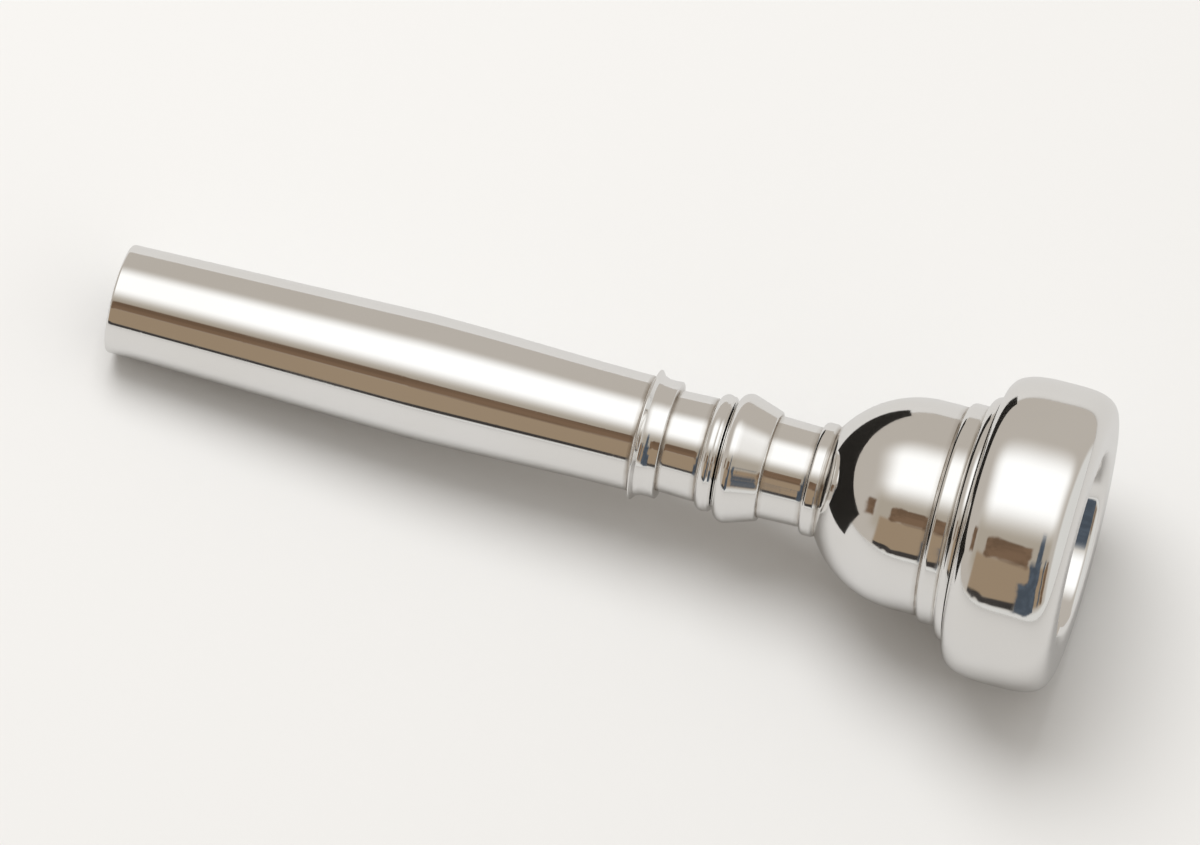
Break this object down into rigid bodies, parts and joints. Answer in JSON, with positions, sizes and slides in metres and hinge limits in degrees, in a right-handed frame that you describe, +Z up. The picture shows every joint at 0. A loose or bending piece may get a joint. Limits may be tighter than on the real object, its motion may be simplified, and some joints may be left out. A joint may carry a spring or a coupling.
{
  "type": "trumpet mouthpiece",
  "caption": "Silver-plated brass trumpet mouthpiece: a crowned rim and a tapered shank screw onto a bowl-shaped cup, with a rubber seal in each joint.",
  "frame": {"origin": "on the mouthpiece's axis, midway between the rim's crest and the shank's tip", "axes": "+X along the axis towards the rim; the mouthpiece lies on its side, so +Z is up and +Y runs across it"},
  "size_m": [0.087, 0.027, 0.027],
  "materials": {
    "silver_plate": "bright silver plate over turned brass, mirror polished",
    "black_rubber": "matte"
  },
  "bodies": {
    "cup": {"cup": "silver_plate"},
    "rim_seal_ring": {"rim_seal_ring": "black_rubber"},
    "rim": {"rim": "silver_plate"},
    "backbore_seal_ring": {"backbore_seal_ring": "black_rubber"},
    "backbore": {"backbore": "silver_plate"}
  },
  "joints": [
    {"name": "rim_travel", "type": "slide", "parent": "cup", "child": "rim_seal_ring", "axis": [1, 0, 0], "range_m": [0, 0.0035]},
    {"name": "rim_turn", "type": "hinge", "parent": "rim_seal_ring", "child": "rim", "pos_m": [0.0399, 0, 0], "axis": [1, 0, 0], "range_deg": [0, 1260]},
    {"name": "backbore_travel", "type": "slide", "parent": "cup", "child": "backbore_seal_ring", "axis": [-1, 0, 0], "range_m": [0, 0.00475]},
    {"name": "backbore_turn", "type": "hinge", "parent": "backbore_seal_ring", "child": "backbore", "pos_m": [0.01123, 0, 0], "axis": [-1, 0, 0], "range_deg": [0, 1710]}
  ],
  "couplings": [
    {"joint": "rim_turn", "follows": "rim_travel", "rad_per_m": 6283.2},
    {"joint": "backbore_turn", "follows": "backbore_travel", "rad_per_m": 6283.2}
  ]
}
